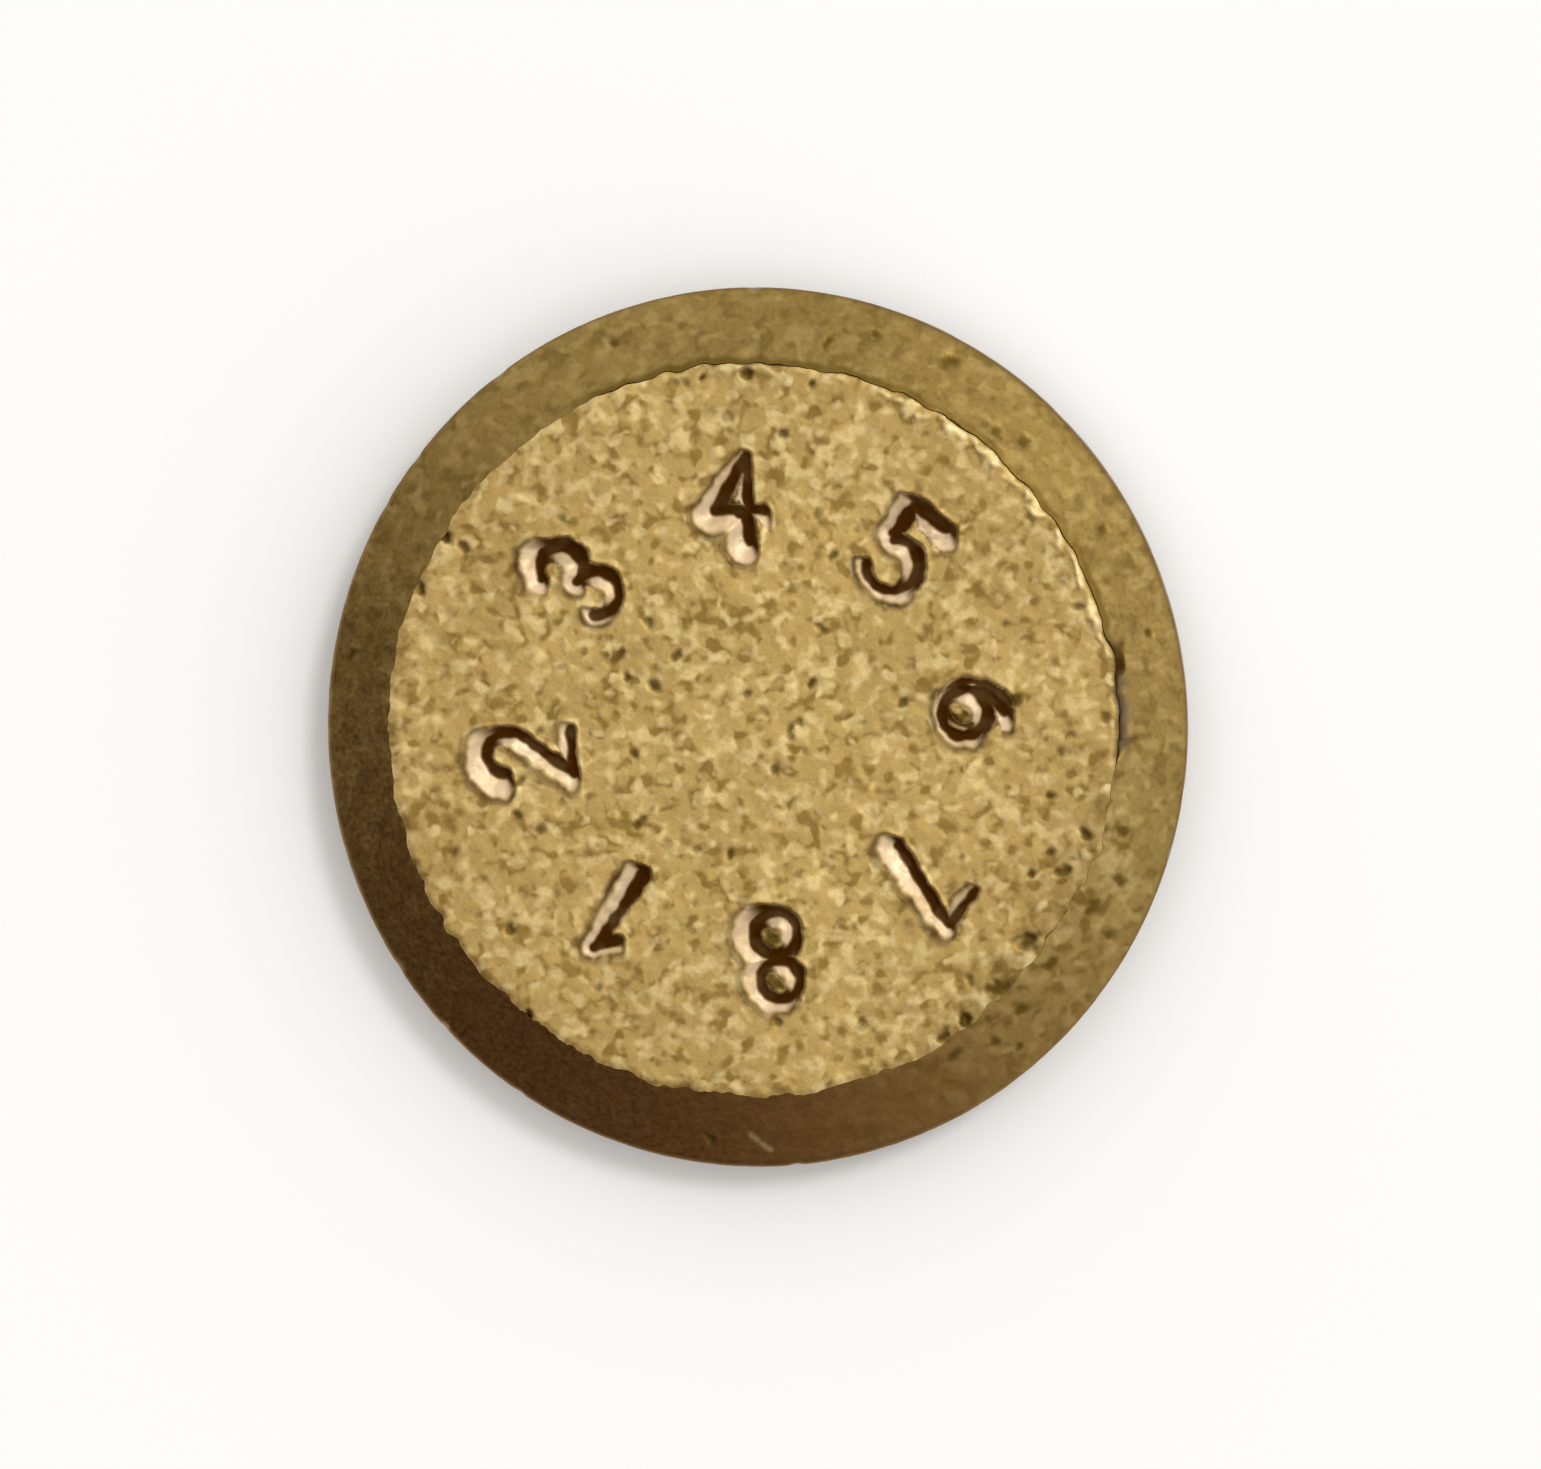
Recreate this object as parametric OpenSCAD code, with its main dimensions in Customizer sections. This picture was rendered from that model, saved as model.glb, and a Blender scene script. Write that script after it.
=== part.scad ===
// Two-piece transit token: a punched core pressed into a bevelled ring.
// Origin at the centre of the back face, +Z out of the punched face, +Y towards digit 4.

/* [Token] */
// Outer diameter of the ring
token_d = 25.4; // [24:0.1:28]
// Overall thickness, from face to face of the core
token_t = 3.2; // [2.8:0.1:4]

/* [Ring] */
// Width of each bevel, seen from above
bevel_w = 2.15; // [1.5:0.05:2.4]
// Height that each bevel drops
bevel_drop = 1.15; // [0.6:0.05:1.2]

/* [Press fit] */
// How far the core stands proud of the ring at each face
core_proud = 0.05; // [0:0.01:0.1]
// Height of the ring's locking ridge at its root
ridge_h = 0.9; // [0.6:0.1:1.2]
// How far the ridge reaches into the core
ridge_depth = 0.35; // [0.2:0.05:0.5]

/* [Punched digits] */
// Distance from the token's axis to the middle of each digit
digit_ring_r = 6.6; // [6.2:0.1:7]
// Height of a digit between the middles of its end strokes
digit_h = 2.5; // [2:0.1:2.8]
// Width of a digit between the middles of its side strokes
digit_w = 1.3; // [1:0.1:1.6]
// Width of a punched stroke
stroke_w = 0.75; // [0.5:0.05:0.85]
// Depth of a punched stroke
stroke_depth = 0.28; // [0.15:0.01:0.4]

/* [Hidden] */
ring_colour = [0.62, 0.52, 0.30];
core_colour = [0.71, 0.60, 0.36];
$fn = 96;

token_r = token_d / 2;
core_r = token_r - bevel_w;
ring_base = core_proud;
ring_top = token_t - core_proud;
mid_z = token_t / 2;
ridge_tip_h = ridge_h / 2;
cutter_clear = 1;

// Direction of each digit from the axis in degrees, from digit 1 clockwise.
// The punching was done by eye, so the steps are uneven.
digit_angle = [-126.8, -173.3, 140.8, 94.8, 50.3, 3.8, -41.4, -84.5];
// Lean of each digit away from straight outwards
digit_lean = [4, -3, 5, -4, 3, -5, 4, 2];

// One side of the lock's section, as radius and height: the bore wall with its ridge.
lock_profile = [
    [core_r, mid_z - ridge_h / 2],
    [core_r - ridge_depth, mid_z - ridge_tip_h / 2],
    [core_r - ridge_depth, mid_z + ridge_tip_h / 2],
    [core_r, mid_z + ridge_h / 2]
];

module rim_ring() {
    color(ring_colour)
    rotate_extrude()
    polygon(concat(
        [[core_r, ring_base]],
        lock_profile,
        [[core_r, ring_top],
         [token_r, ring_top - bevel_drop],
         [token_r, ring_base + bevel_drop]]
    ));
}

module centre_plug() {
    color(core_colour)
    difference() {
        rotate_extrude()
        polygon(concat(
            [[0, 0], [core_r, 0]],
            lock_profile,
            [[core_r, token_t], [0, token_t]]
        ));
        for (i = [0 : len(digit_angle) - 1])
            rotate(digit_angle[i])
            translate([digit_ring_r, 0, token_t - stroke_depth])
            rotate(digit_lean[i] - 90)
            linear_extrude(stroke_depth + cutter_clear)
            digit(i + 1);
    }
}

// Flat outline of a digit, centred on the origin with its top towards +Y.
module digit(n) {
    w = digit_w / 2;
    h = digit_h / 2;
    bowl_r = h / 2;
    if (n == 1) {
        stroke([0, -h], [0, h]);
        stroke([0, h], [-w * 0.7, h * 0.6]);
    }
    if (n == 2) {
        arc([0, h - w], w, -35, 170);
        stroke([w * cos(-35), h - w + w * sin(-35)], [-w, -h]);
        stroke([-w, -h], [w, -h]);
    }
    if (n == 3) {
        arc([0, bowl_r], bowl_r, -90, 150);
        arc([0, -bowl_r], bowl_r, -150, 90);
    }
    if (n == 4) {
        stroke([w * 0.5, -h], [w * 0.5, h]);
        stroke([w * 0.5, h], [-w, -h * 0.3]);
        stroke([-w, -h * 0.3], [w * 1.2, -h * 0.3]);
    }
    if (n == 5) {
        stroke([w, h], [-w * 0.8, h]);
        stroke([-w * 0.8, h], [-w * 0.8, h * 0.2]);
        arc([0, -h + w * 1.15], w * 1.15, -145, 120);
    }
    if (n == 6) {
        ring([0, -h + w], w);
        arc([w * 1.2, -h + w], w * 2.2, 125, 180);
    }
    if (n == 7) {
        stroke([-w, h], [w, h]);
        stroke([w, h], [-w * 0.4, -h]);
    }
    if (n == 8) {
        ring([0, h - bowl_r * 0.9], bowl_r * 0.9);
        ring([0, -h + bowl_r], bowl_r);
    }
}

// Straight stroke with round ends.
module stroke(from, to) {
    run = to - from;
    for (end = [from, to])
        translate(end) circle(d = stroke_w);
    translate(from)
    rotate(atan2(run[1], run[0]))
    translate([0, -stroke_w / 2]) square([norm(run), stroke_w]);
}

// Closed round stroke.
module ring(centre, r) {
    translate(centre)
    difference() {
        circle(r = r + stroke_w / 2);
        circle(r = r - stroke_w / 2);
    }
}

// Part of a round stroke, with round ends.
module arc(centre, r, start, end) {
    reach = 2 * (r + stroke_w);
    steps = 6;
    translate(centre) {
        for (a = [start, end])
            rotate(a) translate([r, 0]) circle(d = stroke_w);
        intersection() {
            ring([0, 0], r);
            polygon(concat(
                [[0, 0]],
                [for (k = [0 : steps]) reach * [
                    cos(start + (end - start) * k / steps),
                    sin(start + (end - start) * k / steps)]]
            ));
        }
    }
}

rim_ring();
centre_plug();
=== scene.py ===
"""A two-piece brass transit token: a core with hand-punched digits, pressed into a bevelled ring.

Lengths in the shape code are millimetres in the CAD frame, and become metres when a mesh is made.
"""

import itertools
import math

import bpy
import numpy as np
from mathutils import Matrix, Vector, geometry


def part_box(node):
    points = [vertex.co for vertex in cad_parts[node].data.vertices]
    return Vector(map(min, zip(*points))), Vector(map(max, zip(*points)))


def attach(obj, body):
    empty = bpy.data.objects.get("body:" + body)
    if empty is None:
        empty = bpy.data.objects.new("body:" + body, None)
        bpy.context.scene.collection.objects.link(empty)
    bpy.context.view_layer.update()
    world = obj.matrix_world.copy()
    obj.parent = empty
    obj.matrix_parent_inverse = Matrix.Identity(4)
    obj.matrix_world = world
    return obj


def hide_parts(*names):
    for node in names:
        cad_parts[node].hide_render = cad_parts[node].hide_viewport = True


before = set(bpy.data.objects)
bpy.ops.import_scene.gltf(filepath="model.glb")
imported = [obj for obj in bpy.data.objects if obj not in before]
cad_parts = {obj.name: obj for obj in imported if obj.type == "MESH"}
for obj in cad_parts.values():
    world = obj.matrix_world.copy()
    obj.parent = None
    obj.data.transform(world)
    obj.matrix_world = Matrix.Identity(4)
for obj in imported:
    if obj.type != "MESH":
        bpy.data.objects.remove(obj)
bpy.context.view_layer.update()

# ---------------------------------------------------------------- sizes, in mm

M = 0.001                  # metres in a millimetre
ring_high = np.array(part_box("rim_ring")[1]) / M
core_high = np.array(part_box("centre_plug")[1]) / M
TOKEN_R, RING_TOP = ring_high[0], ring_high[2]
CORE_R, TOP = core_high[0], core_high[2]
MID = TOP / 2
BEVEL_DROP = 1.15          # fall of each bevel from its inner edge to its outer one
CONE_START = CORE_R - 0.12 # radius at which a bevel's slope begins
RIDGE_H, RIDGE_DEPTH = 0.9, 0.35     # ridge in the ring's bore, which sits in the core's groove
JOINT_START = 0.35         # depth below each face at which the joint's plain walls start
JOINT_GAP = 0.012          # gap between those walls
CORNER = 0.2               # rounding between a bevel and the edge
WORN_WIDTH = 0.98          # width of the worn outline against its height

# Punched digits: the same places, leans and outlines as the CAD grooves.
DIGIT_ANGLES = (-126.8, -173.3, 140.8, 94.8, 50.3, 3.8, -41.4, -84.5)
DIGIT_LEANS = (4, -3, 5, -4, 3, -5, 4, 2)
DIGIT_RING_R = 6.6
DIGIT_H, DIGIT_W = 2.5, 1.3
PUNCH_DEPTH = 0.25                   # of an even punch
PUNCH_LIMITS = (0.08, 0.34)          # shallowest and deepest that an uneven punch goes
# The punches leaned, so each groove is steep on the side towards this angle, and gentle opposite.
LEAN_SIDE = 38
LEAN_SHIFT = 0.15                    # how far that moves a groove's deepest line
STEEP_WALL, GENTLE_WALL = 1.3, 0.5   # drop for each mm across
VALLEY_ROUND, BRIM_ROUND = 0.04, 0.015   # rounding of a groove's bottom and of its brim
LIP_HEIGHT = 0.032                   # metal pushed up round a groove

# How much deeper each punch went towards its digit's right and top.
PUNCH_TILTS = ((0.10, -0.15), (-0.2, 0.15), (0.25, 0.2), (-0.15, -0.3),
               (0.15, 0.25), (-0.1, 0.3), (0.2, -0.2), (0.15, -0.1))
# A second, lighter blow that landed beside the first: digit, shift, share of the depth.
SECOND_BLOWS = ((5, (-0.3, 0.1), 0.5),)

# Spacing of the meshes.
AROUND = 900               # points round the token's edge
FACE_STEP = 0.08           # between points on the plain face,
DIGIT_STEP = 0.05          # round the digits
BACK_STEP = 0.2            # and on the back
DENSE_CLIMB = 0.42         # how far up from a groove the dense mesh reaches
HEX_ROW = 0.866            # distance between rows of a triangular grid, in steps
# Rows of points down the ring's section.
BEVEL_ROWS, CORNER_ROWS, EDGE_ROWS, BACK_ROWS = 33, 7, 8, 22
SHARP_FROM = 70            # corners above this angle aren't smoothed over

# Stretches of the seam, the ring and the core's edge, as angles from +X in degrees.
CREVICE = (-3, 13)         # open and packed with grime
WEDGE = (8.5, 13.5)        # near-black dirt and painted shade at the crevice's upper end
OPEN_SEAM = (12, 118)      # the seam opens a little, and a fine brown line of painted shade runs along it
BURR = (12, 68)            # raised edge of the core, painted bright as the highlight along it, with some wear
MERGED = (-58, -6)         # beaten together, with the core's grain running on over the ring
SHADED_SIDE = (203, 305)       # side of the ring away from the light, painted browner and darker as its shade
SHADY = (42, 84)           # painted shade: a slightly darker stretch of the ring
CHIPPED = (175, 305)       # where the core's edge is the most ragged
SOFT_EDGE = (110, 185)     # where the core's edge is worn the roundest

# Counts of small random marks, and heights of what stands up.
FACE_PITS, FACE_BUMPS, BACK_PITS, EDGE_NICKS = 110, 90, 60, 18
GOLDEN = 0.618             # spreads the directions of marks evenly
BUMP_HEIGHT, BURR_HEIGHT = 0.02, 0.07
SMEAR = 0.03               # how high the ring is pushed up against the core where they are merged
SKIRT = 0.1                # how far the core's wall drops straight from its ragged outline


# ---------------------------------------------------------------- number helpers

class Noise:
    """Smooth seeded 3-D gradient noise, about -1 to 1."""

    def __init__(self, seed):
        rng = np.random.default_rng(seed)
        self.order = rng.permutation(256)
        steps = rng.normal(size=(256, 3))
        self.steps = steps / np.linalg.norm(steps, axis=1, keepdims=True)

    def __call__(self, points, wavelength):
        scaled = points / wavelength
        cell = np.floor(scaled).astype(int)
        inside = scaled - cell
        fade = inside ** 3 * (inside * (inside * 6 - 15) + 10)
        total = np.zeros(len(points))
        for corner in itertools.product((0, 1), repeat=3):
            x, y, z = ((cell + corner) & 255).T
            pick = self.order[(self.order[(self.order[x] + y) & 255] + z) & 255]
            slope = ((inside - corner) * self.steps[pick]).sum(1)
            total += slope * np.prod(np.where(corner, fade, 1 - fade), axis=1)
        return 1.6 * total


def smoothstep(low, high, value):
    t = np.clip((value - low) / (high - low), 0, 1)
    return t * t * (3 - 2 * t)


def soft_max(a, b, width):
    """The larger of a and b, rounded over where they are within width of each other."""
    t = np.clip(0.5 + (a - b) / (2 * width), 0, 1)
    return b + (a - b) * t + width * t * (1 - t)


def turned(points, degrees):
    """2-D points turned about the origin."""
    c, s = math.cos(math.radians(degrees)), math.sin(math.radians(degrees))
    return points @ np.array([[c, s], [-s, c]])


def polar(degrees, r):
    return np.array([r * math.cos(math.radians(degrees)), r * math.sin(math.radians(degrees))])


def towards(degrees, height):
    """Direction to a point of the sky, from its compass angle and its height in degrees."""
    return Vector((*polar(degrees, math.cos(math.radians(height))), math.sin(math.radians(height))))


def angle_window(angle, start, end, blend):
    """1 between two angles in degrees, fading to 0 over blend degrees on each side."""
    middle, half = (start + end) / 2, (end - start) / 2
    off = np.abs((angle - middle + 180) % 360 - 180)
    return 1 - smoothstep(half - blend / 2, half + blend / 2, off)


def lifted(flat, z=0.0):
    """2-D points with a height."""
    return np.column_stack([flat, np.full(len(flat), z)])


# ---------------------------------------------------------------- digits as strokes

def nearest(offsets):
    """The shortest of several offsets, point by point."""
    offsets = np.array(offsets)
    pick = np.linalg.norm(offsets, axis=2).argmin(0)
    return offsets[pick, np.arange(len(pick))]


def to_line(points, start, end):
    """Offset of each point from a straight stroke's middle line."""
    start, run = np.array(start), np.array(end) - np.array(start)
    along = np.clip((points - start) @ run / (run @ run), 0, 1)
    return points - start - along[:, None] * run


def to_arc(points, centre, r, start=0, end=360):
    """Offset of each point from a round stroke's middle line."""
    off = points - np.array(centre)
    reach = np.linalg.norm(off, axis=1, keepdims=True)
    turn = (np.degrees(np.arctan2(off[:, 1], off[:, 0])) - start) % 360
    ends = nearest([off - polar(start, r), off - polar(end, r)])
    return np.where((turn <= end - start)[:, None], off * (1 - r / np.maximum(reach, 1e-9)), ends)


W, H, BOWL = DIGIT_W / 2, DIGIT_H / 2, DIGIT_H / 4
HOOK = polar(-35, W) + (0, H - W)    # end of the round stroke of 2
STROKES = {
    1: [(to_line, (0, -H), (0, H)), (to_line, (0, H), (-W * 0.7, H * 0.6))],
    2: [(to_arc, (0, H - W), W, -35, 170), (to_line, HOOK, (-W, -H)), (to_line, (-W, -H), (W, -H))],
    3: [(to_arc, (0, BOWL), BOWL, -90, 150), (to_arc, (0, -BOWL), BOWL, -150, 90)],
    4: [(to_line, (W * 0.5, -H), (W * 0.5, H)), (to_line, (W * 0.5, H), (-W, -H * 0.3)),
        (to_line, (-W, -H * 0.3), (W * 1.2, -H * 0.3))],
    5: [(to_line, (W, H), (-W * 0.8, H)), (to_line, (-W * 0.8, H), (-W * 0.8, H * 0.2)),
        (to_arc, (0, -H + W * 1.15), W * 1.15, -145, 120)],
    6: [(to_arc, (0, -H + W), W), (to_arc, (W * 1.2, -H + W), W * 2.2, 125, 180)],
    7: [(to_line, (-W, H), (W, H)), (to_line, (W, H), (-W * 0.4, -H))],
    8: [(to_arc, (0, H - BOWL * 0.9), BOWL * 0.9), (to_arc, (0, -H + BOWL), BOWL)],
}


def in_digit(flat, index):
    """Face points in the frame of one digit, its top towards +Y."""
    own = turned(flat, -DIGIT_ANGLES[index]) - (DIGIT_RING_R, 0)
    return turned(own, 90 - DIGIT_LEANS[index])


def from_valley(flat, index, shift=(0, 0)):
    """Distance from a digit's deepest line, and the side of it: from -1, gentle, to 1, steep."""
    own = in_digit(flat - polar(LEAN_SIDE, LEAN_SHIFT), index) - shift
    offset = nearest([measure(own, *line) for measure, *line in STROKES[index + 1]])
    steep_way = polar(LEAN_SIDE - DIGIT_ANGLES[index] + 90 - DIGIT_LEANS[index], 1)
    distance = np.linalg.norm(offset, axis=1)
    return distance, offset @ steep_way / (distance + 0.02)


def wall_slope(side):
    return GENTLE_WALL + (STEEP_WALL - GENTLE_WALL) * smoothstep(-0.5, 1, side)


def climb(flat):
    """Height that the nearest groove's wall has climbed from its valley line."""
    found = [from_valley(flat, i) for i in range(8)]
    return np.min([distance * wall_slope(side) for distance, side in found], axis=0)


# ---------------------------------------------------------------- seam and edge, by angle

edge_noise, seam_noise = Noise(11), Noise(12)


def round_the_edge(angle):
    """Points on a circle, so that noise read along them closes up."""
    turn = np.radians(angle)
    return np.column_stack([np.cos(turn), np.sin(turn), np.zeros_like(turn)]) * CORE_R


def edge_radius(angle):
    """The core's slightly ragged outline at its face."""
    at = round_the_edge(angle)
    rough = 0.05 * edge_noise(at, 2.4) + 0.085 * edge_noise(at, 0.8) + 0.06 * seam_noise(at, 0.42)
    chips = 0.12 * edge_noise(at, 1.1) + 0.2 * np.maximum(0, seam_noise(at, 0.42))
    chips = chips * angle_window(angle, *CHIPPED, 20)
    merged = angle_window(angle, *MERGED, 10)
    return CORE_R - 0.02 + rough * (1 + 0.7 * merged) - 0.08 * merged - chips


def seam_width(angle):
    """How far the ring's mouth stands off the core."""
    at = round_the_edge(angle)
    line = angle_window(angle, *OPEN_SEAM, 14) * (0.7 + 0.7 * seam_noise(at, 1.3))
    crevice = angle_window(angle, *CREVICE, 8) * (0.9 + 0.7 * seam_noise(at, 0.8))
    return 0.003 + 0.035 * np.clip(line, 0, 1.3) + 0.16 * np.clip(crevice, 0, 1.3)


# ---------------------------------------------------------------- meshes

def make_mesh(name, points, faces, masks, body, node, material):
    """A smooth-shaded piece in metres that rides on a body and stands for a CAD node."""
    mesh = bpy.data.meshes.new(name)
    mesh.vertices.add(len(points))
    mesh.vertices.foreach_set("co", (points * M).astype(np.float32).ravel())
    mesh.loops.add(faces.size)
    mesh.loops.foreach_set("vertex_index", faces.astype(np.int32).ravel())
    mesh.polygons.add(len(faces))
    corners = faces.shape[1]
    mesh.polygons.foreach_set("loop_start", np.arange(0, faces.size, corners, dtype=np.int32))
    mesh.polygons.foreach_set("use_smooth", np.ones(len(faces), bool))
    mesh.update(calc_edges=True)
    mesh.validate()
    mesh.set_sharp_from_angle(angle=math.radians(SHARP_FROM))
    for mask, values in masks.items():
        layer = mesh.attributes.new(mask, "FLOAT", "POINT")
        layer.data.foreach_set("value", np.clip(values, 0, 1).astype(np.float32))
    piece = bpy.data.objects.new(name, mesh)
    bpy.context.scene.collection.objects.link(piece)
    mesh.materials.append(material)
    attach(piece, body)
    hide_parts(node)


def hex_points(step, radius):
    """Points of a triangular grid inside a circle."""
    high, wide = math.ceil(radius / step / HEX_ROW), math.ceil(radius / step) + 1
    column, row = np.meshgrid(np.arange(-wide, wide + 1), np.arange(-high, high + 1))
    flat = np.column_stack([(column + (row % 2) / 2).ravel(), HEX_ROW * row.ravel()]) * step
    return flat[np.linalg.norm(flat, axis=1) < radius]


def circle_points(r):
    turn = np.arange(AROUND) * 2 * math.pi / AROUND
    return r * np.column_stack([np.cos(turn), np.sin(turn)])


def triangulated(flat):
    """Triangles over 2-D points, facing up, as rows of point numbers."""
    found = geometry.delaunay_2d_cdt([Vector(p) for p in flat.tolist()], [], [], 0, 1e-9)
    if len(found[0]) != len(flat):
        raise RuntimeError("two points of a face fell together")
    origin = [source[0] for source in found[3]]
    return np.array(origin, int)[np.array(found[2], int)]


def snapped_to_grooves(flat):
    """Moves the points nearest to a groove's valley or edge onto it, for clean creases."""
    nudge = 1e-4
    height = climb(flat)
    rises = [climb(flat + way) - height for way in ((nudge, 0), (0, nudge))]
    gradient = np.column_stack(rises) / nudge
    steepness = np.maximum((gradient ** 2).sum(1), 0.1)
    moved = flat.copy()
    for level in (0, PUNCH_DEPTH):
        step = ((height - level) / steepness)[:, None] * gradient
        near = np.linalg.norm(step, axis=1) < 0.4 * DIGIT_STEP
        moved[near] -= step[near]
    return moved


def face_points():
    """Flat points of the punched face: dense round the digits, ending in the outline's circle."""
    plain = hex_points(FACE_STEP, CORE_R - 0.6 * FACE_STEP)
    plain = plain[climb(plain) > DENSE_CLIMB]
    dense = hex_points(DIGIT_STEP, CORE_R - 1)
    dense = snapped_to_grooves(dense[climb(dense) <= DENSE_CLIMB])
    return np.vstack([circle_points(CORE_R), plain, dense])


def ring_bands(rows):
    """Quads between consecutive rows of points round the token."""
    here = np.arange(AROUND)
    nxt = (here + 1) % AROUND
    starts = [row * AROUND for row in rows]
    return np.vstack([np.column_stack([a + here, b + here, b + nxt, a + nxt])
                      for a, b in zip(starts, starts[1:])])


# ---------------------------------------------------------------- the punched core

grain_noise, fine_noise, broad_noise, punch_noise = Noise(1), Noise(2), Noise(3), Noise(4)

# Pits and dents that stand out: angle, radius, size and depth.
FACE_MARKS = (
    (90.8, 10.2, 0.26, 0.12), (155.6, 3.04, 0.25, 0.08), (157, 3.9, 0.16, 0.05),
    (38, 2.2, 0.2, 0.05), (-37.2, 9.95, 0.36, 0.12), (-46.3, 10.2, 0.42, 0.06),
    (-53.5, 10.35, 0.28, 0.2), (-57.8, 10.35, 0.22, 0.1), (-24.1, 9.75, 0.28, 0.1),
    (148, 10.45, 0.26, 0.14), (157, 10.4, 0.22, 0.12), (-128, 10.5, 0.2, 0.1),
    (-22, 9.2, 0.22, 0.07), (-27, 9.0, 0.18, 0.06), (-17, 10.0, 0.2, 0.08),
    (80, 10.1, 0.16, 0.07), (98, 10.2, 0.14, 0.06), (-12, 8.8, 0.18, 0.05),
    (200, 7.2, 0.2, 0.04), (-100, 3.6, 0.2, 0.04),
    # Darkened metal that the strokes of 4, 6 and 8 enclose.
    (94.8, 6.55, 0.24, 0.02), (3.8, 6.0, 0.36, 0.03), (-84.5, 7.29, 0.34, 0.03),
    (-84.5, 5.97, 0.36, 0.03),
)
# Bright chips on the face: angle, radius and size.
CHIPS = (
    (-39.5, 10.3, 0.32), (-49.3, 10.2, 0.36), (-20, 10.2, 0.22), (-31, 9.7, 0.22),
    (-9, 10.3, 0.2), (-141, 7.9, 0.26), (84, 10.1, 0.24), (64, 10.2, 0.26),
)


def scattered(seed, count, radius):
    """Random places on a disc, with a random number for each from 0 to 1."""
    rng = np.random.default_rng(seed)
    r, turn = radius * np.sqrt(rng.random(count)), 2 * math.pi * rng.random(count)
    return np.column_stack([r * np.cos(turn), r * np.sin(turn)]), rng.random(count)


def dots(flat, places, sizes):
    """Ragged dots, each drawn out its own way: for each, how deep the points lie in it, 0 to 1."""
    ragged = 0.45 * punch_noise(lifted(flat, 9), 0.22)
    for number, (place, size) in enumerate(zip(places, sizes)):
        narrow = 1 + 0.9 * (number * GOLDEN % 1)
        off = turned(flat - place, number * 360 * GOLDEN) * (narrow ** -0.5, narrow ** 0.5)
        yield 1 - smoothstep(0.3, 1, np.linalg.norm(off, axis=1) / size + ragged)


def pit_field(flat, places, sizes, depths, darkness):
    """Pits: the drop at each point, and how dark it is from 0 to 1."""
    drop, dark = np.zeros(len(flat)), np.zeros(len(flat))
    for shape, depth, strength in zip(dots(flat, places, sizes), depths, darkness):
        drop = np.maximum(drop, depth * shape)
        dark = np.maximum(dark, strength * shape)
    return drop, dark


def punched(flat):
    """Height change made by the digit punches, and their masks: fresh metal, painted pale as its
    highlight, and dirt with painted shade.
    """
    height, lip = np.zeros(len(flat)), np.zeros(len(flat))
    dirt_and_shade, lip_shade = np.zeros(len(flat)), np.zeros(len(flat))
    at = lifted(flat)
    uneven = 0.075 * punch_noise(at, 0.6) + 0.05 * fine_noise(at, 0.3)
    blows = [(i, (0, 0), 1) for i in range(8)] + list(SECOND_BLOWS)
    for index, shift, share in blows:
        own = in_digit(flat, index)
        distance, side = from_valley(flat, index, shift)
        distance = np.maximum(distance + uneven, 0)
        slope = wall_slope(side)
        tilt = 1 + own[:, 0] * PUNCH_TILTS[index][0] + own[:, 1] * PUNCH_TILTS[index][1]
        depth = np.clip(PUNCH_DEPTH * share * tilt, *PUNCH_LIMITS)
        rounded = np.sqrt(distance ** 2 + VALLEY_ROUND ** 2) - VALLEY_ROUND
        groove = -soft_max(depth - slope * rounded, 0, BRIM_ROUND)
        deeper = groove < height
        height = np.minimum(height, groove)
        # Painted shade: the steep wall, which faces away from the light, and the valley are painted
        # near-black as the groove's shadow, with some dirt.
        dark = np.maximum(smoothstep(-0.35, 0.2, side), 1 - smoothstep(0.11, 0.19, distance))
        dark *= smoothstep(0.02, 0.08, -groove)
        dirt_and_shade = np.where(deeper, dark, dirt_and_shade)
        outside = distance - depth / slope
        # Painted shade: a thin dark line just outside the gentle side, where the lip's shadow side
        # falls.
        gentle = 1 - smoothstep(-0.3, 0.3, side)
        lip_shade = np.maximum(lip_shade, np.exp(-((outside - 0.03) / 0.08) ** 2) * gentle)
        swell = np.exp(-((outside - 0.07) / 0.07) ** 2) * depth / PUNCH_DEPTH
        lip = np.maximum(lip, swell)
    lip *= smoothstep(-0.03, 0, height) * (0.75 + 0.6 * punch_noise(at, 0.7))
    dirt_and_shade *= np.clip(1 + 0.25 * broad_noise(at, 0.7), 0.93, 1)
    fresh_and_highlight = smoothstep(0.02, 0.09, -height)
    in_groove = smoothstep(0.05, 0.12, -height)
    lip_shade *= (1 - in_groove) * np.clip(0.6 + 0.5 * broad_noise(at, 0.9), 0.3, 0.9)
    return height + LIP_HEIGHT * np.maximum(lip, 0), fresh_and_highlight, np.maximum(dirt_and_shade, lip_shade)


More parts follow.
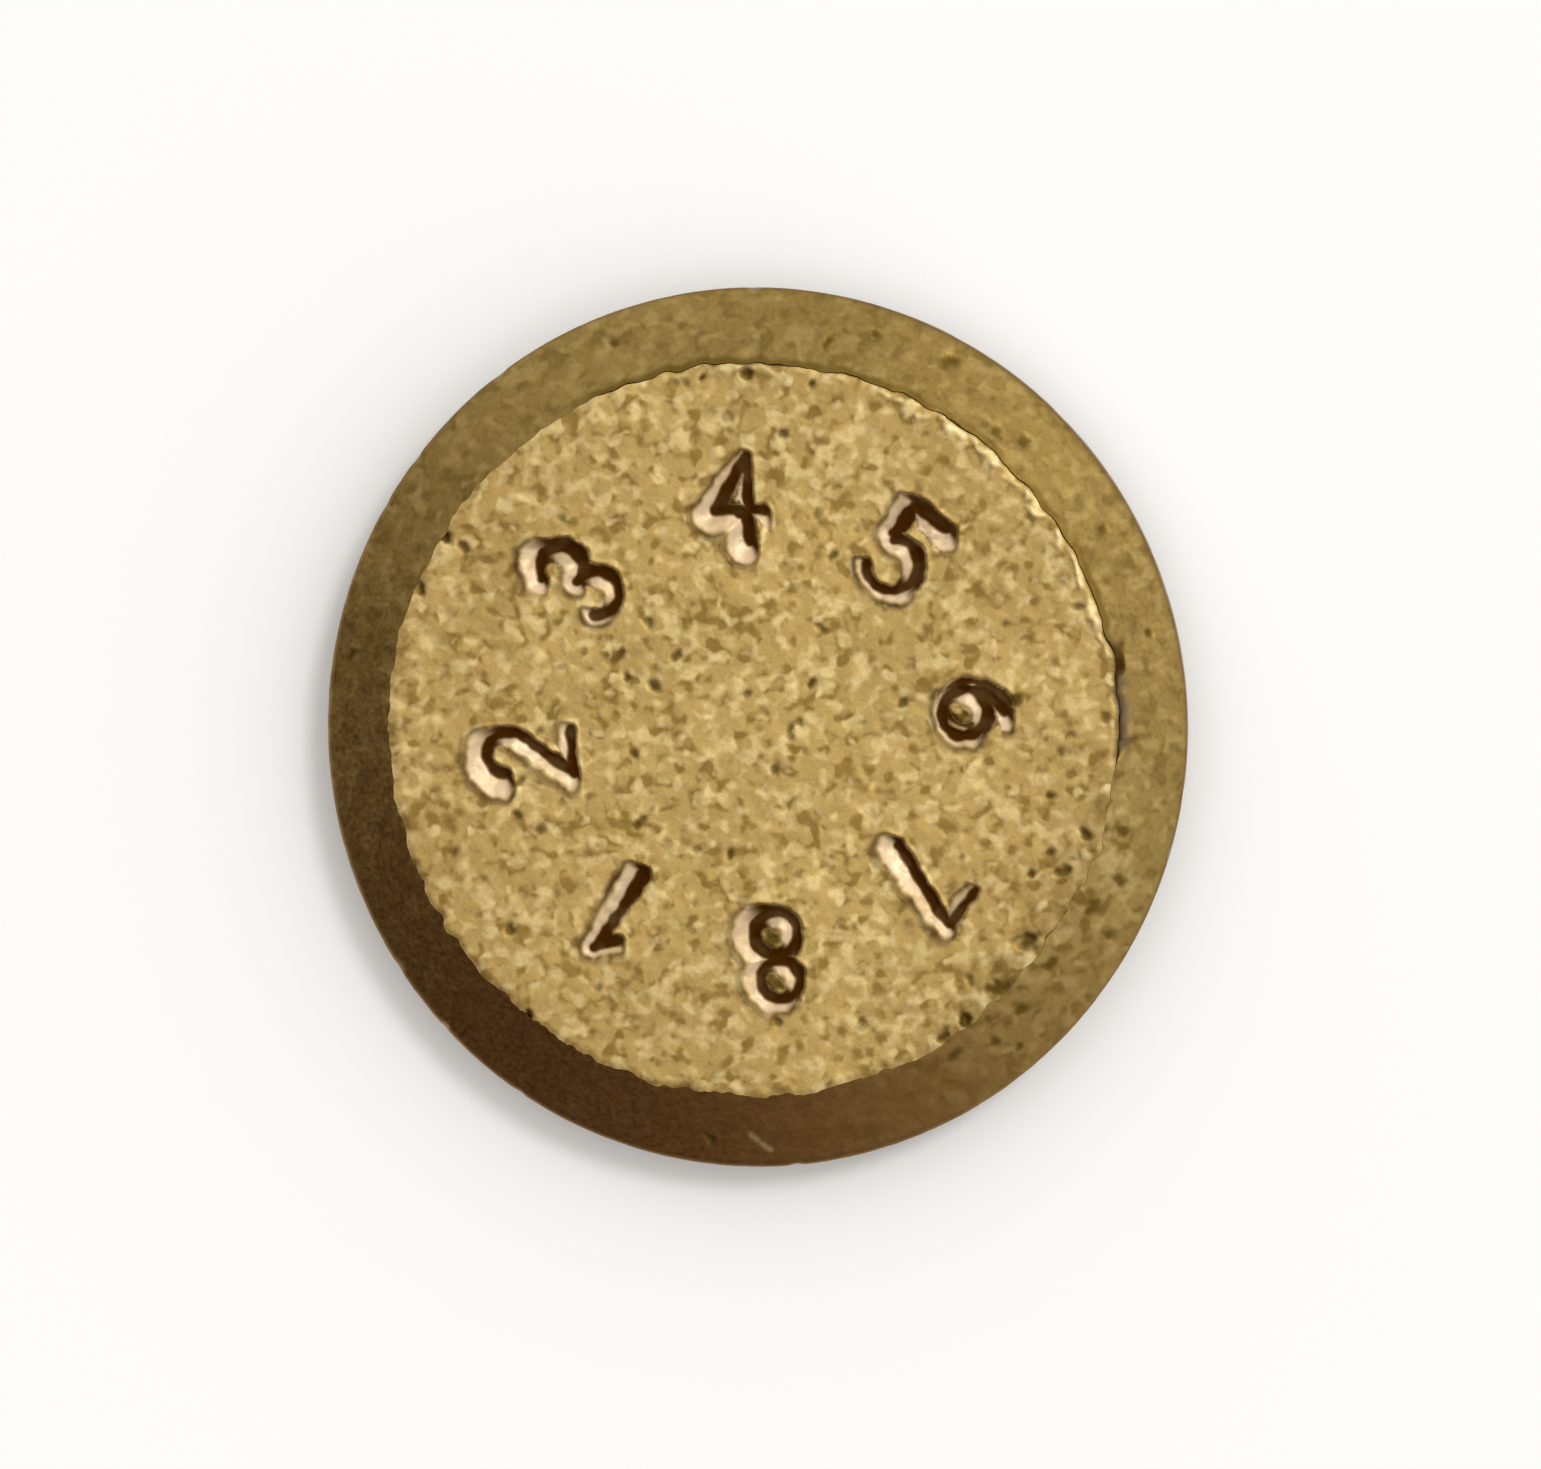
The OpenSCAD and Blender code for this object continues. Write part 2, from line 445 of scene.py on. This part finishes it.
def face_relief(flat, angle, from_edge):
    """Height of the punched face above its plane, with the masks that its finish uses."""
    at = lifted(flat)
    grain = grain_noise(at, 0.8) + 0.8 * fine_noise(at, 0.38)
    height = 0.015 * np.tanh(1.3 * grain) + 0.012 * broad_noise(at, 2.6)

    places, chance = scattered(21, FACE_PITS, CORE_R - 0.3)
    drop, darkening = pit_field(flat, places, 0.10 + 0.14 * chance ** 2, 0.015 + 0.05 * chance ** 2,
                           0.25 + 0.75 * chance ** 2)
    marks = [polar(*mark[:2]) for mark in FACE_MARKS]
    sizes, depths = zip(*(mark[2:] for mark in FACE_MARKS))
    mark_drop, mark_dark = pit_field(flat, marks, sizes, depths, np.ones(len(marks)))
    height -= np.maximum(drop, mark_drop)

    places, chance = scattered(22, FACE_BUMPS, CORE_R - 0.3)
    bumps = dots(flat, places, 0.1 + 0.12 * chance)
    bright = np.max([share * shape for shape, share in zip(bumps, 0.3 + 0.5 * chance)], axis=0)
    chips = dots(flat, [polar(*chip[:2]) for chip in CHIPS], [chip[2] for chip in CHIPS])
    bright = np.maximum(bright, 0.9 * np.max(list(chips), axis=0))
    height += BUMP_HEIGHT * bright

    punch, fresh_and_highlight, dirt_and_shade = punched(flat)
    height = height * (1 - 0.6 * fresh_and_highlight) + punch

    burr = 0.3 + 1.2 * edge_noise(at, 0.7) + 1.1 * seam_noise(at, 0.3)
    burr = np.clip(burr, 0, 1.3) * (0.4 * angle_window(angle, *OPEN_SEAM, 10)
                                    + 0.6 * angle_window(angle, *BURR, 20))
    burr_reach = 0.16 + 0.22 * np.clip(seam_noise(at, 0.55), -0.3, 1)
    height += BURR_HEIGHT * burr * np.exp(-((from_edge - burr_reach) / 0.12) ** 2)
    closed = 1 - angle_window(angle, *OPEN_SEAM, 10)
    round_depth = 0.012 + 0.7 * seam_width(angle) + 0.025 * closed
    round_reach = 0.12 + 0.06 * closed + 0.15 * angle_window(angle, *SOFT_EDGE, 40)
    height -= round_depth * (1 - smoothstep(0, round_reach, from_edge)) ** 1.5

    # Painted highlight along the raised edge, with wear.
    burr_wear_and_highlight = burr * (1 - smoothstep(burr_reach, 1.8 * burr_reach, from_edge))
    outer_part = 1 - smoothstep(0, 1.2, from_edge + 0.6 * broad_noise(at, 0.7))
    return height, {
        # Fresh metal in the grooves, painted pale cream as the highlight on their lit walls, where
        # no shade is painted.
        "fresh_and_highlight": fresh_and_highlight * (1 - dirt_and_shade) * np.clip(0.85 + 0.55 * broad_noise(at, 1.1), 0.5, 1),
        "dirt_and_shade": dirt_and_shade,
        "darkening": np.maximum(darkening, mark_dark) * (1 - fresh_and_highlight),
        "wear_and_highlight": np.maximum(burr_wear_and_highlight, 0.7 * bright * (1 - fresh_and_highlight)),
        "grime": angle_window(angle, *CREVICE, 6) * (1 - smoothstep(0, 0.05, from_edge)),
        "merged": angle_window(angle, *MERGED, 14) * outer_part,
        "patina_and_shade": 0.1 * (1 - smoothstep(0.5, 6, from_edge)),
    }


def back_relief(flat, from_edge):
    """Depth of the plain back's grain and of each pit, all cut inwards, and how dark each pit is.
    """
    at = lifted(flat, 40)
    grain = grain_noise(at, 0.7) + 0.6 * fine_noise(at, 0.4)
    places, chance = scattered(31, BACK_PITS, CORE_R - 0.4)
    drop, darkening = pit_field(flat, places, 0.12 + 0.22 * chance ** 2, 0.02 + 0.05 * chance ** 2,
                           0.3 + 0.5 * chance)
    round_over = 0.06 * (1 - smoothstep(0, 0.16, from_edge)) ** 1.5
    return 0.02 + 0.012 * np.tanh(grain) + drop + round_over, darkening


def build_core(material):
    """The core as one closed mesh: punched face, grooved edge and plain back."""
    flat = face_points()
    faces = triangulated(flat)
    r = np.linalg.norm(flat, axis=1)
    angle = np.degrees(np.arctan2(flat[:, 1], flat[:, 0]))
    outline = edge_radius(angle)
    stretch = 1 + (outline / CORE_R - 1) * smoothstep(CORE_R - 1.4, CORE_R, r)
    flat = flat * stretch[:, None]
    height, masks = face_relief(flat, angle, outline - np.linalg.norm(flat, axis=1))
    face = np.column_stack([flat, TOP + height])

    # Rows down the wall past the locking groove, as radius and height.
    wall_r = CORE_R - JOINT_GAP
    side = [(wall_r, TOP - JOINT_START),
            (wall_r, MID + RIDGE_H / 2), (wall_r - RIDGE_DEPTH, MID + RIDGE_H / 4),
            (wall_r - RIDGE_DEPTH, MID - RIDGE_H / 4), (wall_r, MID - RIDGE_H / 2),
            (wall_r, JOINT_START)]
    skirt = face[:AROUND] - (0, 0, SKIRT)
    wall = np.vstack([skirt, *(lifted(circle_points(radius), z) for radius, z in side)])

    back_r = CORE_R - 0.05
    back_flat = np.vstack([circle_points(back_r), hex_points(BACK_STEP, back_r - BACK_STEP / 2)])
    back_faces = triangulated(back_flat)[:, ::-1]
    depth, back_pits = back_relief(back_flat, back_r - np.linalg.norm(back_flat, axis=1))
    back = np.column_stack([back_flat, depth])

    points = np.vstack([face, wall, back])
    wall_start, back_start = len(face), len(face) + len(wall)
    starts = [0, *range(wall_start, back_start, AROUND), back_start]
    here = np.arange(AROUND)
    nxt = (here + 1) % AROUND
    bands = []
    for upper, lower in zip(starts, starts[1:]):
        bands.append(np.column_stack([upper + here, lower + here, lower + nxt]))
        bands.append(np.column_stack([upper + here, lower + nxt, upper + nxt]))
    faces = np.vstack([faces, *bands, back_faces + back_start])

    plain = np.zeros(len(wall) + len(back))
    masks = {name: np.concatenate([values, plain]) for name, values in masks.items()}
    masks["darkening"][back_start:] = back_pits
    make_mesh("core_detailed", points, faces, masks,
              "root", "centre_plug", material)


# ---------------------------------------------------------------- the bevelled ring

def outline_radius(angle):
    """The ring's outline, worn narrower across than up and down."""
    turn = np.radians(angle)
    return 1 / np.hypot(np.cos(turn) / (TOKEN_R * WORN_WIDTH), np.sin(turn) / TOKEN_R)


def cone_height(r, outer):
    """Height of the ring's bevel above the middle of the token."""
    return RING_TOP - MID - BEVEL_DROP * np.clip((r - CONE_START) / (outer - CONE_START), 0, 1)


def ring_section(angle):
    """Rows round the ring's section, each a radius, a height and a kind, by angle."""
    outer = outline_radius(angle)
    seam = seam_width(angle)
    mouth = edge_radius(angle) + seam
    shoulder = outer - CORNER
    slope = BEVEL_DROP / (outer - CONE_START)
    straight = RING_TOP - MID - BEVEL_DROP - CORNER * slope
    smear = SMEAR * angle_window(angle, *MERGED, 14)
    rows = []
    for t in np.linspace(0, 1, BEVEL_ROWS):
        r = mouth + (shoulder - mouth) * t
        rounding = (0.004 + 0.4 * seam) * (1 - smoothstep(0, 0.12, r - mouth))
        raised = smear * (1 - smoothstep(0, 0.9, r - mouth))
        rows.append((r, cone_height(r, outer) - rounding + raised, "bevel"))
    start = cone_height(shoulder, outer)
    for t in np.linspace(0, 1, CORNER_ROWS)[1:]:
        # A quadratic curve from the bevel to the straight edge, by way of their sharp corner.
        r = (1 - t) ** 2 * shoulder + (2 * t * (1 - t) + t * t) * outer
        z = (1 - t) ** 2 * start + 2 * t * (1 - t) * (start - CORNER * slope) + t * t * straight
        rows.append((r, z, "edge"))
    corner_rows = rows[BEVEL_ROWS:]
    for share in np.linspace(1, -1, EDGE_ROWS)[1:-1]:
        rows.append((outer, straight * share, "edge"))
    rows.extend((r, -z, kind) for r, z, kind in reversed(corner_rows))
    for t in np.linspace(1, 0, BACK_ROWS):
        r = CORE_R + (shoulder - CORE_R) * t
        rows.append((r, -cone_height(r, outer) + 0.02 * (t == 0), "bevel"))
    bore = ((CORE_R, JOINT_START - MID), (CORE_R, -RIDGE_H / 2),
            (CORE_R - RIDGE_DEPTH, -RIDGE_H / 4), (CORE_R - RIDGE_DEPTH, RIDGE_H / 4),
            (CORE_R, RIDGE_H / 2), (CORE_R, MID - JOINT_START))
    same = np.ones_like(angle)
    rows.extend((r * same, z * same, "bore") for r, z in bore)
    ledge = cone_height(mouth, outer) - 0.03 - 0.6 * seam
    rows.append((edge_radius(angle) + 0.002 + 0.3 * seam, ledge, "mouth"))
    return [(r, MID + z, kind) for r, z, kind in rows]


ring_noise, ring_fine, ring_broad = Noise(5), Noise(6), Noise(7)

# Dark spots on the ring's upper bevel: angle, radius and size.
RING_MARKS = (
    (47, 11.4, 0.28), (51, 11.1, 0.3), (73, 11.9, 0.2), (79, 11.4, 0.25), (62, 12.0, 0.26),
    (30, 11.6, 0.2), (14, 11.7, 0.18), (12.5, 10.8, 0.3), (-1.5, 10.85, 0.26), (-15, 11.0, 0.3),
    (-22, 11.4, 0.24), (-27, 11.0, 0.34), (-38, 10.9, 0.28), (-46, 11.1, 0.3), (-52, 11.3, 0.22),
    (-50, 11.9, 0.2), (-58, 11.0, 0.28), (-29.7, 11.8, 0.28), (110, 11.8, 0.18), (-96, 11.9, 0.2),
    (170, 11.9, 0.2),
)
SCRATCH = ((-90.3, 11.7), (-87.8, 12.15))   # ends of a light scratch: angle and radius


def build_ring(material):
    """The ring as one closed mesh, with softened corners, faint dents and the seam's mouth."""
    angle = np.arange(AROUND) * 360 / AROUND
    turn = np.radians(angle)
    rows = ring_section(angle)
    grid = np.stack([np.column_stack([r * np.cos(turn), r * np.sin(turn), z]) for r, z, _ in rows])
    along = np.roll(grid, -1, 0) - np.roll(grid, 1, 0)
    round_about = np.roll(grid, -1, 1) - np.roll(grid, 1, 1)
    normal = np.cross(along, round_about)
    normal /= np.linalg.norm(normal, axis=2, keepdims=True)

    points = grid.reshape(-1, 3)
    shown = np.repeat([kind in ("bevel", "edge") for _, _, kind in rows], AROUND)
    where = np.degrees(np.arctan2(points[:, 1], points[:, 0]))
    reach = np.linalg.norm(points[:, :2], axis=1)
    upper = points[:, 2] > MID
    inward = 1 - smoothstep(CORE_R + 0.1, TOKEN_R - 0.4, reach + 0.6 * ring_noise(points, 0.7))
    merged = upper * angle_window(where, *MERGED, 14)
    grain = grain_noise(points, 0.75) + 0.7 * fine_noise(points, 0.38)
    relief = 0.009 * ring_noise(points, 0.9) + 0.006 * ring_fine(points, 0.38)
    relief += 0.012 * ring_broad(points, 3.5) + 0.024 * merged * inward * np.tanh(1.3 * grain)

    rng = np.random.default_rng(41)
    nicks = np.zeros(len(points))
    for _ in range(EDGE_NICKS):
        at = rng.uniform(0, 360)
        z = MID + rng.choice([-1, 1]) * rng.uniform(0.1, 0.45)
        centre = np.array([*polar(at, outline_radius(at)), z])
        near = np.linalg.norm(points - centre, axis=1) / rng.uniform(0.14, 0.42)
        nicks = np.maximum(nicks, rng.uniform(0.03, 0.08) * (1 - smoothstep(0, 1, near)))

    places = [polar(*mark[:2]) for mark in RING_MARKS]
    sizes = [mark[2] for mark in RING_MARKS]
    spots = upper * np.max(list(dots(points[:, :2], places, sizes)), axis=0)
    away = np.linalg.norm(to_line(points[:, :2], *(polar(*end) for end in SCRATCH)), axis=1)
    scratch = upper * (1 - smoothstep(0.02, 0.14, away + 0.04 * ring_fine(points, 0.25)))

    relief = np.where(shown, relief - 0.03 * spots - 0.012 * scratch - nicks, 0)
    points = points + relief[:, None] * normal.reshape(-1, 3)
    allowed = outline_radius(where) / np.linalg.norm(points[:, :2], axis=1)
    points[:, :2] *= np.minimum(1, allowed)[:, None]

    faces = ring_bands([*range(len(rows)), 0])
    from_core = reach - np.tile(edge_radius(angle), len(rows))
    # Painted shade: a fine brown line on the ring along the open seam.
    seam_shade_line = 1 - smoothstep(0.1, 0.28, from_core + 0.06 * ring_fine(points, 0.4))
    seam_shade_line *= angle_window(where, *OPEN_SEAM, 10)
    ragged = from_core + 0.12 * ring_fine(points, 0.3)
    wedge = angle_window(where, *WEDGE, 3)
    grime = upper * angle_window(where, *CREVICE, 6) * (1 - wedge)
    grime *= 1 - smoothstep(0.2, 0.42, ragged)
    # Painted shade: the seam's line and a slightly darker stretch of the ring, in the same colour
    # as the pits.
    painted_shade = upper * np.maximum(0.85 * seam_shade_line, 0.2 * angle_window(where, *SHADY, 30))
    browned_edge = smoothstep(-0.1, -0.02, reach - outline_radius(where))
    masks = {
        "grime": grime * np.clip(0.75 + 0.6 * ring_noise(points, 0.5), 0.3, 1),
        "darkening": np.maximum(spots, painted_shade),
        # Near-black at the crevice's upper end: dirt and painted shade.
        "dirt_and_shade": upper * wedge * (1 - smoothstep(0.14, 0.3, ragged)),
        "wear_and_highlight": 0.4 * scratch + 0.15 * smoothstep(0.01, 0.05, nicks),
        # Browned outer edge, and the side away from the light painted browner and darker as its
        # shade.
        "patina_and_shade": np.maximum(0.6 * browned_edge, upper * 0.8 * angle_window(where, *SHADED_SIDE, 70)),
        "merged": merged * inward,
    }
    make_mesh("ring_detailed", points, faces, masks,
              "root", "rim_ring", material)


# ---------------------------------------------------------------- materials

class Nodes:
    """A short way to write a material's or world's node tree."""

    def __init__(self, owner):
        owner.use_nodes = True
        self.tree = owner.node_tree
        self.tree.nodes.clear()

    def add(self, kind, **settings):
        node = self.tree.nodes.new(kind)
        inputs = settings.pop("inputs", {})
        for name, value in settings.items():
            setattr(node, name, value)
        for name, value in inputs.items():
            socket = node.inputs[name]
            if isinstance(value, bpy.types.NodeSocket):
                self.tree.links.new(value, socket)
            else:
                socket.default_value = value
        return node

    def noise(self, where, scale, detail=2.0, roughness=0.5, swirl=0.0):
        return self.add("ShaderNodeTexNoise", inputs={
            "Vector": where, "Scale": scale, "Detail": detail, "Roughness": roughness,
            "Distortion": swirl}).outputs["Fac"]

    def ramp(self, factor, stops):
        node = self.add("ShaderNodeValToRGB", inputs={"Fac": factor})
        elements = node.color_ramp.elements
        elements[0].position, elements[0].color = stops[0][0], (*stops[0][1], 1)
        elements[1].position, elements[1].color = stops[-1][0], (*stops[-1][1], 1)
        for position, colour in stops[1:-1]:
            elements.new(position).color = (*colour, 1)
        return node.outputs["Color"]

    def span(self, value, low, high, to_low, to_high):
        return self.add("ShaderNodeMapRange", inputs={
            "Value": value, "From Min": low, "From Max": high,
            "To Min": to_low, "To Max": to_high}).outputs["Result"]

    def maths(self, operation, a, b):
        return self.add("ShaderNodeMath", operation=operation, inputs={0: a, 1: b}).outputs[0]

    def mix(self, factor, a, b, blend="MIX"):
        node = self.add("ShaderNodeMix", data_type="RGBA", blend_type=blend)
        for socket, value in ((0, factor), (6, a), (7, b)):
            if isinstance(value, bpy.types.NodeSocket):
                self.tree.links.new(value, node.inputs[socket])
            else:
                node.inputs[socket].default_value = value if socket == 0 else (*value, 1)
        return node.outputs[2]

    def mask(self, name):
        return self.add("ShaderNodeAttribute", attribute_name=name).outputs["Fac"]


# What each mask paints over the brass, from the lowest coat to the highest.
COATS = {
    # Patina, and the browner painted shade on the ring's side away from the light.
    "patina_and_shade": (0.20, 0.096, 0.03),
    # Wear, and the painted highlight along the core's raised edge.
    "wear_and_highlight": (0.80, 0.645, 0.33),
    # Fresh metal, pale cream as the painted highlight on the grooves' lit walls.
    "fresh_and_highlight": (0.72, 0.55, 0.365),
    # Dirt, and the painted near-black shade in the grooves and at the crevice's end.
    "dirt_and_shade": (0.062, 0.0195, 0.0006),
    # Pits, and the painted shade of the seam's line and of a stretch of the ring.
    "darkening": (0.12, 0.072, 0.012),
    "grime": (0.17, 0.12, 0.07),
}
# Dark, middle and light tones of the patches on the core, the ring and their beaten stretch.
CORE_TONES = ((0.31, 0.20, 0.052), (0.53, 0.375, 0.132), (0.72, 0.56, 0.255))
RING_TONES = ((0.21, 0.138, 0.038), (0.28, 0.188, 0.056), (0.36, 0.252, 0.085))
BEATEN_TONES = ((0.20, 0.125, 0.03), (0.34, 0.235, 0.075), (0.47, 0.345, 0.135))


def brass(name, tones, patch, rough, bump):
    """Matte brass with patches of three tones, coats and a fine grain. Scales are per mm."""
    material = bpy.data.materials.new(name)
    n = Nodes(material)
    place = n.add("ShaderNodeTexCoord").outputs["Object"]
    mm = n.add("ShaderNodeMapping", inputs={
        "Vector": place, "Scale": (1 / M, 1 / M, 1 / M)}).outputs[0]
    aside = n.add("ShaderNodeMapping", inputs={"Vector": mm, "Location": (31, 17, 5)}).outputs[0]
    fine = n.noise(mm, 7.0, 2.0, 0.6)
    clouds = n.noise(mm, 0.28, 2.0)
    dark_patches = n.span(n.noise(mm, patch, 1.0, 0.4, 0.25), 0.50, 0.66, 0, 1)
    light_patches = n.span(n.noise(aside, patch, 1.0, 0.4, 0.25), 0.51, 0.69, 0, 1)

    def patches(dark, middle, light):
        return n.mix(light_patches, n.mix(dark_patches, middle, dark), light)

    colour = n.mix(n.mask("merged"), patches(*tones), patches(*BEATEN_TONES))
    speckle = n.ramp(fine, ((0.3, (0.55, 0.55, 0.55)), (0.7, (1.3, 1.3, 1.3))))
    colour = n.mix(0.35, colour, speckle, "MULTIPLY")
    tarnish = n.ramp(clouds, ((0.3, (0.84, 0.82, 0.78)), (0.7, (1.12, 1.12, 1.12))))
    colour = n.mix(0.5, colour, tarnish, "MULTIPLY")
    for mask, tint in COATS.items():
        colour = n.mix(n.mask(mask), colour, tint)

    roughness = n.span(fine, 0.3, 0.7, rough - 0.08, rough + 0.08)
    roughness = n.maths("SUBTRACT", roughness, n.maths("MULTIPLY", n.mask("fresh_and_highlight"), 0.04))
    dull = n.maths("MAXIMUM", n.mask("grime"), n.mask("dirt_and_shade"))
    roughness = n.maths("ADD", roughness, n.maths("MULTIPLY", dull, 0.4))
    metallic = n.span(dull, 0, 1, 1, 0.3)
    specular = n.span(dull, 0, 1, 0.5, 0.05)

    finest = n.noise(mm, 18, 2.0)
    height = n.maths("ADD", n.maths("MULTIPLY", fine, 0.7), n.maths("MULTIPLY", finest, 0.3))
    relief = n.add("ShaderNodeBump", inputs={
        "Height": height, "Strength": 1.0, "Distance": bump * M})
    shader = n.add("ShaderNodeBsdfPrincipled", inputs={
        "Base Color": colour, "Roughness": roughness, "Metallic": metallic,
        "Specular IOR Level": specular, "Normal": relief.outputs["Normal"]})
    n.add("ShaderNodeOutputMaterial", inputs={"Surface": shader.outputs["BSDF"]})
    return material


def paper():
    """Plain pale floor."""
    material = bpy.data.materials.new("pale_floor")
    n = Nodes(material)
    shader = n.add("ShaderNodeBsdfPrincipled", inputs={
        "Base Color": FLOOR_COLOUR, "Roughness": 0.9, "Specular IOR Level": 0.1})
    n.add("ShaderNodeOutputMaterial", inputs={"Surface": shader.outputs["BSDF"]})
    return material


# ---------------------------------------------------------------- studio

LIGHT_SIDE = 42            # direction that the light comes from, in degrees from +X
KEY_HEIGHT = 58            # height of the key light above the horizon, in degrees
KEY_POWER = 0.72
KEY_SIZE = 14              # how wide the key light looks, in degrees
SKY_HEIGHT = 24            # height of the sky's bright middle above the horizon, in degrees
SKY_POWER = 1.04
# The sky, from the point opposite the bright middle (0) to the middle (1).
SKY = ((0.0, (0.05, 0.018, 0.009)), (0.17, (0.065, 0.026, 0.014)), (0.32, (0.24, 0.17, 0.13)),
       (0.45, (0.66, 0.62, 0.57)), (0.6, (0.98, 0.96, 0.93)), (1.0, (1.08, 1.065, 1.035)))
BACKDROP = (0.98, 0.975, 0.965)
KEY_COLOUR = (1.0, 0.985, 0.96)
FLOOR_COLOUR = (0.95, 0.965, 0.985, 1)
FLOOR_HALF, FLOOR_Z = 1.5, -0.00001   # in metres; just clear of the token's back


def studio():
    """Floor, one soft key light, and a sky that is bright on its side and dim and warm opposite."""
    mesh = bpy.data.meshes.new("floor")
    signs = ((-1, -1), (1, -1), (1, 1), (-1, 1))
    corners = [(x * FLOOR_HALF, y * FLOOR_HALF, FLOOR_Z) for x, y in signs]
    mesh.from_pydata(corners, [], [(0, 1, 2, 3)])
    mesh.materials.append(paper())
    floor = bpy.data.objects.new("floor", mesh)
    bpy.context.scene.collection.objects.link(floor)

    key = bpy.data.lights.new("key", "SUN")
    key.energy = KEY_POWER
    key.angle = math.radians(KEY_SIZE)
    key.color = KEY_COLOUR
    lamp = bpy.data.objects.new("key", key)
    lamp.rotation_euler = towards(LIGHT_SIDE, KEY_HEIGHT).to_track_quat("Z", "Y").to_euler()
    bpy.context.scene.collection.objects.link(lamp)

    world = bpy.data.worlds.new("soft_sky")
    bpy.context.scene.world = world
    n = Nodes(world)
    look = n.add("ShaderNodeTexCoord").outputs["Generated"]
    facing = n.add("ShaderNodeVectorMath", operation="DOT_PRODUCT",
                   inputs={0: look, 1: towards(LIGHT_SIDE, SKY_HEIGHT)}).outputs["Value"]
    sky = n.add("ShaderNodeBackground", inputs={
        "Color": n.ramp(n.span(facing, -1, 1, 0, 1), SKY), "Strength": SKY_POWER})
    backdrop = n.add("ShaderNodeBackground", inputs={"Color": (*BACKDROP, 1)})
    seen = n.add("ShaderNodeLightPath").outputs["Is Camera Ray"]
    mixed = n.add("ShaderNodeMixShader", inputs={
        0: seen, 1: sky.outputs[0], 2: backdrop.outputs[0]})
    n.add("ShaderNodeOutputWorld", inputs={"Surface": mixed.outputs[0]})


VIEW_TILT = 6              # camera's lean off the vertical, in degrees
VIEW_SIDE = 31             # direction that it leans towards
VIEW_DISTANCE = 220        # from the token to the camera
VIEW_WIDTH = 44.5          # width of the picture at the token
TOKEN_OFF_MIDDLE = (-0.407, 0.193)   # how far right and up of the picture's middle it lies
SENSOR = 36                # width of the camera's sensor


def camera():
    """Nearly overhead, a little towards the light, with the token left of the middle."""
    data = bpy.data.cameras.new("camera")
    data.sensor_width = SENSOR
    data.lens = SENSOR * VIEW_DISTANCE / VIEW_WIDTH
    data.clip_start = 0.01
    data.clip_end = 20
    eye = bpy.data.objects.new("camera", data)
    lean = towards(VIEW_SIDE, 90 - VIEW_TILT)
    across = Vector((0, 1, 0)).cross(lean).normalized()
    up = lean.cross(across)
    aim = Vector((0, 0, MID)) - across * TOKEN_OFF_MIDDLE[0] - up * TOKEN_OFF_MIDDLE[1]
    eye.location = (aim + lean * VIEW_DISTANCE) * M
    eye.rotation_euler = Matrix((across, up, lean)).transposed().to_euler()
    bpy.context.scene.collection.objects.link(eye)
    bpy.context.scene.camera = eye


# ---------------------------------------------------------------- the whole scene

camera()
studio()
bpy.context.scene.view_settings.view_transform = "Standard"
core_brass = brass("core_brass", CORE_TONES, 2.4, 0.56, 0.012)
ring_brass = brass("ring_brass", RING_TONES, 2.0, 0.42, 0.006)
build_core(core_brass)
build_ring(ring_brass)
